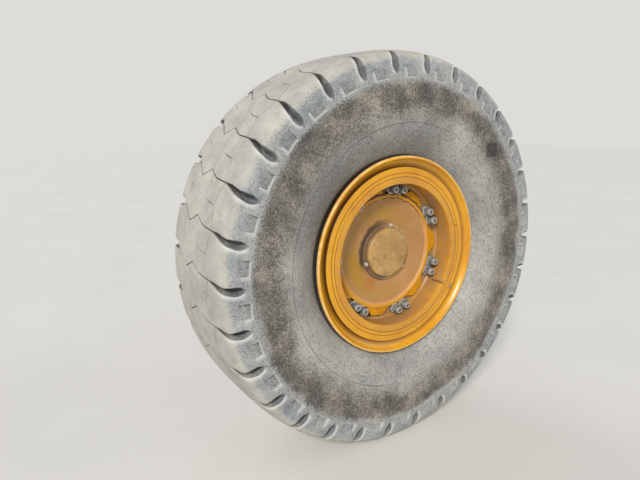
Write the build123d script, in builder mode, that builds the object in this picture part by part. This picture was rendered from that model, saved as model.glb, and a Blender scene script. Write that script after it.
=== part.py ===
from build123d import *
import math
import os

# Front wheel end of a rigid dump truck: the spindle with its brake, and the hub, five-piece rim and
# tyre that turn on it.
#
# Frame, in millimetres: the origin is the centre of the spindle's mounting face. The wheel turns
# about Y, its outer face towards -Y. The truck's nose is towards -X, and +Z is up.
# Every turned profile is drawn as (radius, station). A station is a distance along the axle from
# the tyre's centre plane, positive towards the outer face of the wheel.

# Clearances
SEAT = 0.3  # between round pieces that sit in each other on one body
RUNNING = 0.05  # radial, between the spindle's journal and the hub that turns on it
AXIAL = 0.3  # end play between turning and fixed faces
CLEAR = 6.0  # least distance between turning and fixed pieces elsewhere

# Tyre
CENTRE_PLANE = 350.0  # mounting face to the tyre's centre plane
CROWN_RADIUS = 1060.0
CROWN_HALF_WIDTH = 220.0  # the crown is a plain cylinder this far to either side
SHOULDER_RADIUS = 1034.0
SHOULDER_HALF_WIDTH = 306.0
LUG_FOOT_RADIUS = 945.0
SIDE_HALF_WIDTH = 341.0
SIDE_RADIUS = 700.0  # the sidewall slopes in to the bead below this
BEAD_WIDTH = 74.0
LUG_COUNT = 30
GROOVE_START_ANGLE = 1.0
GROOVE_STAGGER_ANGLE = -6.2  # from the outer shoulder's grooves to the inner one's
GROOVE_FOOT_RADIUS = 912.0  # where a groove's floor leaves the sidewall
GROOVE_CLIMB_ANGLE = 45.0  # of the floor, up from there to the crown
GROOVE_MOUTH = 46.0
GROOVE_LENGTH = 212.0  # measured along the floor
GROOVE_DRIFT = 10.0  # how far round a groove has swept at its tip

# Rim
BEAD_SEAT_RADIUS = 445.0
RIM_WIDTH = 452.0  # between the flange faces that hold the beads
RIM_BORE = 387.0
FLANGE_RADIUS = 533.4
FLANGE_ROOT = 27.0  # thickness where the flange stands on its seat
FLANGE_TIP = 13.0
FLANGE_STATION = 290.0  # the flange's outermost plane
FLANGE_BEND_RADIUS = 478.0  # the flange stands straight up to here, then flares outwards
LIP_RADIUS = 476.0  # collar that the flange leans on
LIP_THICKNESS = 17.0
SPLIT_RADIUS = 443.0  # where lock ring and bead seat band part on the outer face
GUTTER_RADIUS = 423.0
GUTTER_LIP = 13.0
LOCK_LEG_WIDTH = 15.0
LOCK_LEG_DEPTH = 14.0
LOCK_SPLIT_WIDTH = 12.0
LOCK_SPLIT_ANGLE = 16.5
BAND_LENGTH = 118.0

# Wheel disc and its fastening
DISC_FACE = 146.0  # station of the disc's outer face
DISC_THICKNESS = 34.0
HUB_GAP = 5.0  # between the hub's lobes and the opening that slides over them
LOBE_COUNT = 7
LOBE_START_ANGLE = 4.5
NUT_CIRCLE = 350.0  # radius
NUT_SPLIT_ANGLE = 5.0  # each nut of a pair stands this far round from their middle
NUT_ACROSS_FLATS = 46.0
NUT_HEIGHT = 48.0
PLATE_THICKNESS = 12.0
PLATE_HEIGHT = 42.0
PLATE_END = 31.0  # from a nut's centre to the end of its plate
PLATE_CORNER = 12.0

# Hub
LIP_STATION = 162.0
LIP_OUTER = 324.0
LIP_INNER = 302.0
FACE_RADIUS = 293.0
FACE_STATION = 151.0
LOBE_STATION = 157.0
LOBE_RADIUS = 366.0
LOBE_TIP_HALF_WIDTH = 40.0
LOBE_ROOT_RADIUS = 300.0  # the lobes' slanting sides start here, inside the lip
LOBE_ROOT_HALF_WIDTH = 94.0
LOBE_CORNER = 18.0
LOBE_ROOT_FILLET = 30.0
HUB_FLANGE_RADIUS = 379.0
HUB_FLANGE_THICKNESS = 36.0
BARREL_RADIUS = 262.0
HUB_INNER_STATION = -165.0
HUB_FACE_WALL = 34.0  # metal left between the bore's end and the dished face
CAP_FLANGE_RADIUS = 160.0
CAP_FLANGE_THICKNESS = 8.0
CAP_RADIUS = 136.0
CAP_STATION = 186.0
CAP_CROWN = 10.0

# Spindle
JOURNAL_RADIUS = 100.0
SPINDLE_FLANGE_RADIUS = 215.0
SPINDLE_FLANGE_THICKNESS = 55.0
SPINDLE_ROOT_RADIUS = 140.0
SPINDLE_BOLTS = 8
SPINDLE_BOLT_CIRCLE = 180.0  # radius
SPINDLE_BOLT_HOLE = 33.0

# Brake
BRAKE_DISC_RADIUS = 340.0
BRAKE_DISC_BORE = 205.0
BRAKE_DISC_THICKNESS = 35.0
CALIPER_OUTER_RADIUS = 377.0
CALIPER_INNER_RADIUS = 276.0
CALIPER_HALF_ANGLE = 20.0
CALIPER_OUTBOARD_WALL = 66.0  # with its pad
PAD_GAP = 1.5
ANCHOR_THICKNESS = 30.0
ANCHOR_ARM_HALF_WIDTH = 96.0
ANCHOR_ARM_RADIUS = 292.0

# Valve
VALVE_ANGLE = -31.0
VALVE_STATION = 206.0
VALVE_STANDOFF = 16.0
VALVE_REACH = 84.0
VALVE_RADIUS = 9.0
VALVE_FOOT_LENGTH = 18.0

# Worked out from the sizes above
DISC_BACK = DISC_FACE - DISC_THICKNESS
HUB_FLANGE_BACK = DISC_BACK - HUB_FLANGE_THICKNESS
PLATE_FACE = DISC_FACE + PLATE_THICKNESS
BEAD_FACE = RIM_WIDTH / 2
FLANGE_SEAT = BEAD_FACE + FLANGE_ROOT
RIM_END = FLANGE_SEAT + LIP_THICKNESS
LOBE_PITCH = 360.0 / LOBE_COUNT
BORE_END = FACE_STATION - HUB_FACE_WALL
BRAKE_BACK = HUB_INNER_STATION - BRAKE_DISC_THICKNESS
ANCHOR_BACK = -CENTRE_PLANE + SPINDLE_FLANGE_THICKNESS
ANCHOR_FRONT = ANCHOR_BACK + ANCHOR_THICKNESS


def along(station):
    """The Y of a station along the axle."""
    return -CENTRE_PLANE - station


def across(station):
    """A plane square to the axle at a station, its normal pointing outboard, X rearward, Y up."""
    return Plane(origin=(0, along(station), 0), x_dir=(1, 0, 0), z_dir=(0, -1, 0))


def turned(points):
    """The (radius, Y) points of a straight-sided profile given as (radius, station)."""
    return [(radius, along(station)) for radius, station in points]


def polar(radius, degrees):
    """A point at a radius and an angle, counter-clockwise from the rear as seen from outside."""
    angle = math.radians(degrees)
    return (radius * math.cos(angle), radius * math.sin(angle))


def write(piece, name):
    """Labels a finished piece and writes its file."""
    piece.part.label = name
    export_step(piece.part, f"parts/{name}.step")


os.makedirs("parts", exist_ok=True)

# Spindle: mounting flange, thick root and the journal that the hub turns on
with BuildPart() as spindle:
    with BuildSketch(Plane.XY):
        with BuildLine():
            Polyline(
                turned(
                    [
                        (0, -CENTRE_PLANE),
                        (SPINDLE_FLANGE_RADIUS, -CENTRE_PLANE),
                        (SPINDLE_FLANGE_RADIUS, ANCHOR_BACK),
                        (SPINDLE_ROOT_RADIUS, ANCHOR_BACK),
                        (SPINDLE_ROOT_RADIUS, HUB_INNER_STATION - AXIAL),
                        (JOURNAL_RADIUS, HUB_INNER_STATION - AXIAL),
                        (JOURNAL_RADIUS, BORE_END - AXIAL),
                        (0, BORE_END - AXIAL),
                    ]
                ),
                close=True,
            )
        make_face()
    revolve(axis=Axis.Y)
    with BuildSketch(across(-CENTRE_PLANE)):
        with PolarLocations(SPINDLE_BOLT_CIRCLE, SPINDLE_BOLTS):
            Circle(SPINDLE_BOLT_HOLE / 2)
    extrude(amount=SPINDLE_FLANGE_THICKNESS, mode=Mode.SUBTRACT)
write(spindle, "spindle")

# Brake anchor: a ring on the spindle's flange with an arm to the front and one to the rear
with BuildPart() as brake_anchor:
    with BuildSketch(across(ANCHOR_BACK)):
        Circle(SPINDLE_FLANGE_RADIUS)
        with BuildSketch(mode=Mode.PRIVATE) as arms:
            Circle(ANCHOR_ARM_RADIUS)
            Rectangle(2 * ANCHOR_ARM_RADIUS, 2 * ANCHOR_ARM_HALF_WIDTH, mode=Mode.INTERSECT)
        add(arms.sketch)
        Circle(SPINDLE_ROOT_RADIUS + SEAT, mode=Mode.SUBTRACT)
    extrude(amount=ANCHOR_THICKNESS)
write(brake_anchor, "brake_anchor")


# Calipers, front and rear alike: each is bolted to an arm and straddles the disc
for name, middle in (("rear", 0.0), ("front", 180.0)):
    low, high = middle - CALIPER_HALF_ANGLE, middle + CALIPER_HALF_ANGLE
    with BuildPart() as caliper:
        with BuildSketch(across(ANCHOR_FRONT)):
            with BuildLine():
                CenterArc((0, 0), CALIPER_OUTER_RADIUS, low, 2 * CALIPER_HALF_ANGLE)
                Line(polar(CALIPER_OUTER_RADIUS, high), polar(CALIPER_INNER_RADIUS, high))
                CenterArc((0, 0), CALIPER_INNER_RADIUS, low, 2 * CALIPER_HALF_ANGLE)
                Line(polar(CALIPER_INNER_RADIUS, low), polar(CALIPER_OUTER_RADIUS, low))
            make_face()
        extrude(amount=HUB_INNER_STATION + CALIPER_OUTBOARD_WALL - ANCHOR_FRONT)
        with BuildSketch(across(BRAKE_BACK - PAD_GAP)):
            Circle(BRAKE_DISC_RADIUS + CLEAR)
        extrude(amount=BRAKE_DISC_THICKNESS + 2 * PAD_GAP, mode=Mode.SUBTRACT)
    write(caliper, f"{name}_caliper")

# Brake disc, bolted to the hub's inboard flange
with BuildPart() as brake_disc:
    with BuildSketch(across(BRAKE_BACK)):
        Circle(BRAKE_DISC_RADIUS)
        Circle(BRAKE_DISC_BORE, mode=Mode.SUBTRACT)
    extrude(amount=BRAKE_DISC_THICKNESS)
write(brake_disc, "brake_disc")


def lobe_outline(gap, mode=Mode.ADD):
    """Draws the hub's outline of drum and lobes, grown by a gap."""
    with BuildSketch(mode=Mode.PRIVATE) as outline:
        with PolarLocations(0, LOBE_COUNT, start_angle=LOBE_START_ANGLE):
            Polygon(
                (LOBE_ROOT_RADIUS, -LOBE_ROOT_HALF_WIDTH),
                (LOBE_RADIUS, -LOBE_TIP_HALF_WIDTH),
                (LOBE_RADIUS, LOBE_TIP_HALF_WIDTH),
                (LOBE_ROOT_RADIUS, LOBE_ROOT_HALF_WIDTH),
                align=None,
            )
        Circle(LIP_OUTER)
        corners = outline.vertices().group_by(lambda v: round(math.hypot(v.X, v.Y)))
        fillet(corners[-1], LOBE_CORNER)
        fillet(corners[0], LOBE_ROOT_FILLET)
        if gap:
            offset(amount=gap)
    add(outline.sketch, mode=mode)


def nut_places():
    """The angles of the nuts with their points, pair by pair, midway between the lobes."""
    for number in range(LOBE_COUNT):
        middle = LOBE_START_ANGLE + (number + 0.5) * LOBE_PITCH
        for angle in (middle - NUT_SPLIT_ANGLE, middle + NUT_SPLIT_ANGLE):
            yield angle, polar(NUT_CIRCLE, angle)


# Hub: one casting, lobed and dished at its outer face, with a blind bore for the journal
with BuildPart() as hub:
    with BuildSketch(Plane.XY):
        with BuildLine():
            Polyline(
                turned(
                    [
                        (0, FACE_STATION),
                        (FACE_RADIUS, FACE_STATION),
                        (LIP_INNER, LIP_STATION),
                        (LIP_OUTER, LIP_STATION),
                        (LIP_OUTER, DISC_BACK),
                        (HUB_FLANGE_RADIUS, DISC_BACK),
                        (HUB_FLANGE_RADIUS, HUB_FLANGE_BACK),
                        (BARREL_RADIUS, HUB_FLANGE_BACK),
                        (BARREL_RADIUS, HUB_INNER_STATION),
                        (JOURNAL_RADIUS + RUNNING, HUB_INNER_STATION),
                        (JOURNAL_RADIUS + RUNNING, BORE_END),
                        (0, BORE_END),
                    ]
                ),
                close=True,
            )
        make_face()
    revolve(axis=Axis.Y)
    with BuildSketch(across(DISC_BACK)):
        lobe_outline(0)
        Circle(FACE_RADIUS, mode=Mode.SUBTRACT)
    extrude(amount=LOBE_STATION - DISC_BACK)
write(hub, "hub")

# Cap over the hub's end: a flange on the dished face and a cup with a bevelled rim
with BuildPart() as bearing_cap:
    with BuildSketch(across(FACE_STATION)):
        Circle(CAP_FLANGE_RADIUS)
    extrude(amount=CAP_FLANGE_THICKNESS)
    with BuildSketch(across(FACE_STATION)):
        Circle(CAP_RADIUS)
    extrude(amount=CAP_STATION - FACE_STATION)
    chamfer(bearing_cap.faces().sort_by(Axis.Y)[0].edges(), CAP_CROWN)
write(bearing_cap, "bearing_cap")

# Wheel disc: a plate in the rim's bore that slides over the hub's lobes
with BuildPart() as wheel_disc:
    with BuildSketch(across(DISC_BACK)):
        Circle(RIM_BORE - SEAT)
        lobe_outline(HUB_GAP, mode=Mode.SUBTRACT)
    extrude(amount=DISC_THICKNESS)
write(wheel_disc, "wheel_disc")

# Clamp plates, one under each pair of nuts, and the nuts
plate_length = 2 * (PLATE_END + NUT_CIRCLE * math.radians(NUT_SPLIT_ANGLE))
with BuildPart() as clamp_plates:
    with BuildSketch(across(DISC_FACE)) as plates:
        with PolarLocations(
            NUT_CIRCLE, LOBE_COUNT, start_angle=LOBE_START_ANGLE + LOBE_PITCH / 2
        ):
            Rectangle(PLATE_HEIGHT, plate_length)
        chamfer(plates.vertices(), PLATE_CORNER)
    extrude(amount=PLATE_THICKNESS)
write(clamp_plates, "clamp_plates")

with BuildPart() as wheel_nuts:
    with BuildSketch(across(PLATE_FACE)):
        for angle, point in nut_places():
            with Locations(point):
                RegularPolygon(NUT_ACROSS_FLATS / 2, 6, major_radius=False, rotation=angle + 30)
    extrude(amount=NUT_HEIGHT)
write(wheel_nuts, "wheel_nuts")

# Rim base: gutter at the outer end, and the raised back section with its bead seat and collar
groove_floor = GUTTER_RADIUS - LOCK_LEG_DEPTH
groove_out = RIM_END - GUTTER_LIP
groove_in = groove_out - LOCK_LEG_WIDTH
back_seat_in = -(BEAD_FACE - BEAD_WIDTH)
with BuildPart() as rim_base:
    with BuildSketch(Plane.XY):
        with BuildLine():
            Polyline(
                turned(
                    [
                        (RIM_BORE, RIM_END),
                        (GUTTER_RADIUS, RIM_END),
                        (GUTTER_RADIUS, groove_out),
                        (groove_floor, groove_out),
                        (groove_floor, groove_in),
                        (GUTTER_RADIUS, groove_in),
                        (GUTTER_RADIUS, back_seat_in),
                        (BEAD_SEAT_RADIUS, back_seat_in),
                        (BEAD_SEAT_RADIUS, -FLANGE_SEAT),
                        (LIP_RADIUS, -FLANGE_SEAT),
                        (LIP_RADIUS, -RIM_END),
                        (RIM_BORE, -RIM_END),
                    ]
                ),
                close=True,
            )
        make_face()
    revolve(axis=Axis.Y)
write(rim_base, "rim_base")

# Flanges, alike and mirrored: upright at the bead, then flared outwards to a blunt edge
flange_foot = BEAD_SEAT_RADIUS + SEAT
flange_back = FLANGE_SEAT - SEAT
tip_inner = FLANGE_RADIUS - FLANGE_TIP
for name, side in (("outer_flange", 1), ("inner_flange", -1)):
    with BuildPart() as flange:
        with BuildSketch(Plane.XY):
            with BuildLine():
                Polyline(
                    turned(
                        [
                            (flange_foot, side * BEAD_FACE),
                            (flange_foot, side * flange_back),
                            (FLANGE_BEND_RADIUS + SEAT, side * flange_back),
                            (tip_inner, side * FLANGE_STATION),
                            (FLANGE_RADIUS, side * FLANGE_STATION),
                            (FLANGE_RADIUS, side * (FLANGE_STATION - FLANGE_TIP)),
                            (FLANGE_BEND_RADIUS, side * BEAD_FACE),
                        ]
                    ),
                    close=True,
                )
            make_face()
        revolve(axis=Axis.Y)
    write(flange, name)

# Bead seat band and the split lock ring that holds it in the gutter
taper_foot = groove_in + SEAT
with BuildPart() as bead_seat_band:
    with BuildSketch(Plane.XY):
        with BuildLine():
            Polyline(
                turned(
                    [
                        (SPLIT_RADIUS + SEAT, RIM_END),
                        (LIP_RADIUS, RIM_END),
                        (LIP_RADIUS, FLANGE_SEAT),
                        (BEAD_SEAT_RADIUS, FLANGE_SEAT),
                        (BEAD_SEAT_RADIUS, RIM_END - BAND_LENGTH),
                        (GUTTER_RADIUS + SEAT, RIM_END - BAND_LENGTH),
                        (GUTTER_RADIUS + SEAT, taper_foot),
                    ]
                ),
                close=True,
            )
        make_face()
    revolve(axis=Axis.Y)
write(bead_seat_band, "bead_seat_band")

with BuildPart() as lock_ring:
    with BuildSketch(Plane.XY):
        with BuildLine():
            Polyline(
                turned(
                    [
                        (GUTTER_RADIUS + SEAT, RIM_END),
                        (SPLIT_RADIUS, RIM_END),
                        (GUTTER_RADIUS + SEAT, groove_in + SEAT),
                        (groove_floor + SEAT, groove_in + SEAT),
                        (groove_floor + SEAT, groove_out - SEAT),
                        (GUTTER_RADIUS + SEAT, groove_out - SEAT),
                    ]
                ),
                close=True,
            )
        make_face()
    revolve(axis=Axis.Y)
    with BuildSketch(across(groove_in)):
        with Locations(Location((0, 0, 0), (0, 0, LOCK_SPLIT_ANGLE))):
            with Locations((GUTTER_RADIUS, 0)):
                Rectangle(4 * LOCK_LEG_WIDTH, LOCK_SPLIT_WIDTH)
    extrude(amount=RIM_END - groove_in, mode=Mode.SUBTRACT)
write(lock_ring, "lock_ring")

# Valve stem, bent up against the rim's bore with its cap towards the outer face
valve_foot = RIM_BORE - SEAT
valve_line = valve_foot - VALVE_STANDOFF
with BuildPart() as valve_stem:
    with BuildSketch(across(VALVE_STATION)):
        with Locations(polar(valve_line, VALVE_ANGLE)):
            Circle(VALVE_RADIUS)
    extrude(amount=VALVE_REACH)
    with BuildSketch(across(VALVE_STATION)):
        with Locations(Location((0, 0, 0), (0, 0, VALVE_ANGLE))):
            with Locations(((valve_line + valve_foot) / 2, 0)):
                Rectangle(VALVE_STANDOFF, 2 * VALVE_RADIUS)
    extrude(amount=VALVE_FOOT_LENGTH)
write(valve_stem, "valve_stem")


def lug_plane(degrees):
    """A plane through the axle at an angle: X is the station, Y the radius."""
    angle = math.radians(degrees)
    outwards = (-math.sin(angle), 0, math.cos(angle))
    return Plane(origin=(0, along(0), 0), x_dir=(0, -1, 0), z_dir=outwards)


def groove_floor(side, degrees):
    """The plane of a groove's floor: X climbs from the sidewall to the crown, normal outwards."""
    angle, climb = math.radians(degrees), math.radians(GROOVE_CLIMB_ANGLE)
    radial = Vector(math.cos(angle), 0, math.sin(angle))
    outboard = Vector(0, -side, 0)
    return Plane(
        origin=radial * GROOVE_FOOT_RADIUS + Vector(0, along(side * SIDE_HALF_WIDTH), 0),
        x_dir=radial * math.sin(climb) - outboard * math.cos(climb),
        z_dir=radial * math.cos(climb) + outboard * math.sin(climb),
    )


# Tyre: a casing with a round crown, its shoulders faceted and cut through into lugs
bead_foot = BEAD_SEAT_RADIUS + SEAT
bead_side = BEAD_FACE - SEAT
lug_slope = (SHOULDER_RADIUS - LUG_FOOT_RADIUS) / (SIDE_HALF_WIDTH - SHOULDER_HALF_WIDTH)
lug_pitch = 360.0 / LUG_COUNT
lug_reach = CROWN_RADIUS * math.tan(math.radians(lug_pitch / 2)) + CLEAR
side_clear = SIDE_HALF_WIDTH + CLEAR
with BuildPart() as tyre:
    with BuildSketch(Plane.XY):
        for side in (1, -1):
            with BuildLine():
                Polyline(
                    turned(
                        [
                            (bead_foot, 0),
                            (bead_foot, side * bead_side),
                            (FLANGE_BEND_RADIUS, side * bead_side),
                            (SIDE_RADIUS, side * SIDE_HALF_WIDTH),
                            (CROWN_RADIUS, side * SIDE_HALF_WIDTH),
                            (CROWN_RADIUS, 0),
                        ]
                    ),
                    close=True,
                )
            make_face()
    revolve(axis=Axis.Y)

    # The lugs of the two shoulders stand staggered
    shoulder_starts = ((1, GROOVE_START_ANGLE), (-1, GROOVE_START_ANGLE + GROOVE_STAGGER_ANGLE))

    # Flat facets, one a lug, bring each shoulder down from the crown to the sidewall
    for side, start in shoulder_starts:
        middles = [start + (number + 0.5) * lug_pitch for number in range(LUG_COUNT)]
        with BuildSketch(*[lug_plane(middle) for middle in middles]):
            with BuildLine():
                Polyline(
                    (side * CROWN_HALF_WIDTH, CROWN_RADIUS),
                    (side * SHOULDER_HALF_WIDTH, SHOULDER_RADIUS),
                    (side * side_clear, LUG_FOOT_RADIUS - CLEAR * lug_slope),
                    (side * side_clear, CROWN_RADIUS + CLEAR),
                    (side * CROWN_HALF_WIDTH, CROWN_RADIUS + CLEAR),
                    close=True,
                )
            make_face()
        extrude(amount=lug_reach, both=True, mode=Mode.SUBTRACT)

    # Grooves between the lugs climb from the sidewall and run out on the crown in a point
    for side, start in shoulder_starts:
        floors = [groove_floor(side, start + number * lug_pitch) for number in range(LUG_COUNT)]
        with BuildSketch(*floors):
            with BuildLine():
                Polyline(
                    (-CLEAR, -GROOVE_MOUTH / 2),
                    (GROOVE_LENGTH, -GROOVE_DRIFT),
                    (-CLEAR, GROOVE_MOUTH / 2),
                    close=True,
                )
            make_face()
        extrude(amount=CROWN_RADIUS - GROOVE_FOOT_RADIUS, mode=Mode.SUBTRACT)
write(tyre, "tyre")
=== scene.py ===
"""Looks of the front wheel end of a rigid dump truck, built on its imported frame."""

import logging
import math
from collections.abc import Callable
from dataclasses import dataclass, field
from enum import Enum

import bmesh
import bpy
from mathutils import Matrix, Vector, noise

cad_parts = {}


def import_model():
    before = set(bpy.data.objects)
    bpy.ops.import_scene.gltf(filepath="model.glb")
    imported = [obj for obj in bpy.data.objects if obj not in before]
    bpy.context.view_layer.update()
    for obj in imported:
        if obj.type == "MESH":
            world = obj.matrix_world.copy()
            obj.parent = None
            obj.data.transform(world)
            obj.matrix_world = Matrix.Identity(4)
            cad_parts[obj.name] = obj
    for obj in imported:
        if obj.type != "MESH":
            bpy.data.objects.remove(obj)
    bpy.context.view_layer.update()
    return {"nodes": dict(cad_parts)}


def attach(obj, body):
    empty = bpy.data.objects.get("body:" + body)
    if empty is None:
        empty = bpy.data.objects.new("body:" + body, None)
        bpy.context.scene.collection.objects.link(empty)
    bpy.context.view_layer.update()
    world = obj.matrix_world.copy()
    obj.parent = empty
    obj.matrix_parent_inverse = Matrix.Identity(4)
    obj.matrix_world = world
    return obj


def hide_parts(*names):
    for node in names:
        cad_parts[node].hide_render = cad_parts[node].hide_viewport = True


LOG = logging.getLogger("wheel_end")

MM = 0.001
CENTRE_PLANE = 350.0
AXLE = Vector((0.0, 1.0, 0.0))
# The hollow attribute darkens hollows with painted shade, the tyre's also with dirt; below 0 it
# marks a painted highlight.
HOLLOW = "hollow"

Colour = tuple[float, float, float, float]
Socket = bpy.types.NodeSocket
Value = Socket | float
Curve = list[tuple[float, float, float]]


def chip(red: int, green: int, blue: int) -> Colour:
    """Turns a screen colour into the linear one that a shader reads.

    Args:
        red: Red, 0 to 255.
        green: Green, 0 to 255.
        blue: Blue, 0 to 255.

    Returns:
        The linear colour with full alpha.
    """
    def linear(level: int) -> float:
        """Undoes the screen's curve for one channel."""
        share = level / 255
        return share / 12.92 if share <= 0.04045 else ((share + 0.055) / 1.055) ** 2.4

    return (linear(red), linear(green), linear(blue), 1.0)


def spot(radius: float, station: float, degrees: float = 0.0) -> Vector:
    """Finds a place on the wheel.

    Args:
        radius: Distance from the axle line in millimetres.
        station: Distance outboard of the tyre's centre plane in millimetres.
        degrees: Angle, counter-clockwise from the rear as seen from outside.

    Returns:
        The point in metres, in the frame's axes.
    """
    angle = math.radians(degrees)
    across, up = radius * math.cos(angle), radius * math.sin(angle)
    return Vector((across, -CENTRE_PLANE - station, up)) * MM


class Body(Enum):
    """The bodies that a piece can ride on."""

    KNUCKLE = "knuckle"
    WHEEL = "wheel"


class Slot(Enum):
    """The record's material slots."""

    TYRE = "tyre_rubber"
    RIM = "rim_paint"
    HUB = "hub_paint"
    CAP = "cap_paint"
    FASTENER = "fastener_steel"
    IRON = "brake_iron"
    CALIPER = "caliper_paint"
    UNDERSIDE = "underside_paint"
    VALVE = "valve_brass"


@dataclass(frozen=True)
class Ramp:
    """A size that changes along a path, straight between its knots."""

    knots: tuple[tuple[float, float], ...]

    def at(self, place: float) -> float:
        """Reads the ramp.

        Args:
            place: Where along the path, in the knots' own units.

        Returns:
            The size there, held level beyond the first and last knot.
        """
        if place <= self.knots[0][0]:
            return self.knots[0][1]
        for (low, start), (high, end) in zip(self.knots, self.knots[1:]):
            if place <= high:
                return start + (end - start) * (place - low) / (high - low)
        return self.knots[-1][1]


class Graph:
    """Adds nodes to one shader tree and joins them."""

    def __init__(self, tree: bpy.types.NodeTree) -> None:
        """Starts on a tree, with nothing in it."""
        self.tree = tree
        self.tree.nodes.clear()

    def node(self, kind: str, inputs: dict | None = None, **settings: object) -> bpy.types.Node:
        """Adds one node.

        Args:
            kind: The node's type, without its ShaderNode prefix.
            inputs: Values or sockets for its inputs, by name or number.
            **settings: The node's own properties.

        Returns:
            The new node.
        """
        made = self.tree.nodes.new(f"ShaderNode{kind}")
        for key, setting in settings.items():
            setattr(made, key, setting)
        for key, source in (inputs or {}).items():
            if isinstance(source, Socket):
                self.tree.links.new(source, made.inputs[key])
            else:
                made.inputs[key].default_value = source
        return made

    def math(self, operation: str, *terms: Value) -> Socket:
        """Adds a Math node on its terms and gives its output."""
        return self.node("Math", dict(enumerate(terms)), operation=operation).outputs[0]

    def product(self, first: Value, *others: Value) -> Socket:
        """Multiplies values or masks into one."""
        for other in others:
            first = self.math("MULTIPLY", first, other)
        return first

    def total(self, first: Value, *others: Value) -> Socket:
        """Adds values up."""
        for other in others:
            first = self.math("ADD", first, other)
        return first

    def less(self, value: Value, taken: Value) -> Socket:
        """Takes one value from another."""
        return self.math("SUBTRACT", value, taken)

    def rest(self, share: Value) -> Socket:
        """Gives what a share leaves of 1, so that a mask is turned about."""
        return self.less(1.0, share)

    def length(self, across: Value, up: Value) -> Socket:
        """Gives the length of the slanting side over two square ones."""
        return self.math("SQRT", self.total(self.product(across, across), self.product(up, up)))

    def mix(self, share: Value, below: Socket | Colour, above: Socket | Colour) -> Socket:
        """Mixes two colours by a share and gives the colour."""
        return self.node("Mix", {0: share, 6: below, 7: above}, data_type="RGBA").outputs[2]

    def lay(self, below: Socket, above: Colour, *shares: Value) -> Socket:
        """Lays a colour over another, as strongly as all the shares together allow."""
        return self.mix(self.product(*shares), below, above)

    def place(self) -> Socket:
        """Gives the object coordinates."""
        return self.node("TexCoord").outputs["Object"]

    def axes(self) -> tuple[Socket, Socket, Socket]:
        """Gives X, Y and Z of the object coordinates."""
        return tuple(self.node("SeparateXYZ", {0: self.place()}).outputs)

    def hollow(self) -> Socket:
        """Gives how deep in a hollow a place lies, for painted shade, below 0 for a painted
        highlight on an edge.
        """
        return self.node("Attribute", attribute_name=HOLLOW).outputs["Fac"]

    def noise(
        self, scale: Value, detail: float = 4.0, rough: float = 0.6, where: Socket | None = None
    ) -> Socket:
        """Adds a Noise texture.

        Args:
            scale: Features in a metre.
            detail: How many finer layers it has.
            rough: How strong the finer layers are.
            where: The coordinates it reads, or None for the object's.

        Returns:
            The noise value, near a half.
        """
        inputs = {
            "Vector": where or self.place(), "Scale": scale, "Detail": detail, "Roughness": rough
        }
        return self.node("TexNoise", inputs).outputs[0]

    def stretch(self, value: Value, low: Value, high: Value) -> Socket:
        """Widens a narrow range of values to run from 0 to 1."""
        return self.node("MapRange", {0: value, 1: low, 2: high}).outputs[0]

    def cloud(
        self, scale: float, low: float, high: float, detail: float = 5.0, rough: float = 0.65
    ) -> Socket:
        """Adds a Noise texture and widens its middle range to run from 0 to 1.

        Args:
            scale: Features in a metre.
            low: The noise value that becomes 0.
            high: The noise value that becomes 1.
            detail: How many finer layers it has.
            rough: How strong the finer layers are.

        Returns:
            The mask.
        """
        return self.stretch(self.noise(scale, detail, rough), low, high)

    def swing(
        self, scale: float, reach: float, detail: float = 4.0, rough: float = 0.7
    ) -> Socket:
        """Adds a Noise texture that swings about 0.

        Args:
            scale: Features in a metre.
            reach: How far it swings to either side, roughly.
            detail: How many finer layers it has.
            rough: How strong the finer layers are.

        Returns:
            The swinging value.
        """
        return self.product(self.less(self.noise(scale, detail, rough), 0.5), 4.0 * reach)

    def above(self, value: Value, limit: float, blur: float) -> Socket:
        """Masks where a value passes a limit, fading over the blur."""
        limits = {0: value, 1: limit - blur / 2, 2: limit + blur / 2}
        return self.node("MapRange", limits, interpolation_type="SMOOTHSTEP").outputs[0]

    def below(self, value: Value, limit: float, blur: float) -> Socket:
        """Masks where a value falls short of a limit, fading over the blur."""
        return self.rest(self.above(value, limit, blur))

    def window(
        self, value: Value, low: float, high: float, blur: float, blur_high: float | None = None
    ) -> Socket:
        """Masks where a value lies between two limits.

        Args:
            value: The socket that is tested.
            low: The lower limit.
            high: The upper limit.
            blur: How far the mask takes to fade at the lower limit.
            blur_high: The same at the upper limit, or None for the same blur.

        Returns:
            The mask, 1 inside and 0 outside.
        """
        short = self.below(value, high, blur_high or blur)
        return self.product(self.above(value, low, blur), short)


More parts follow.
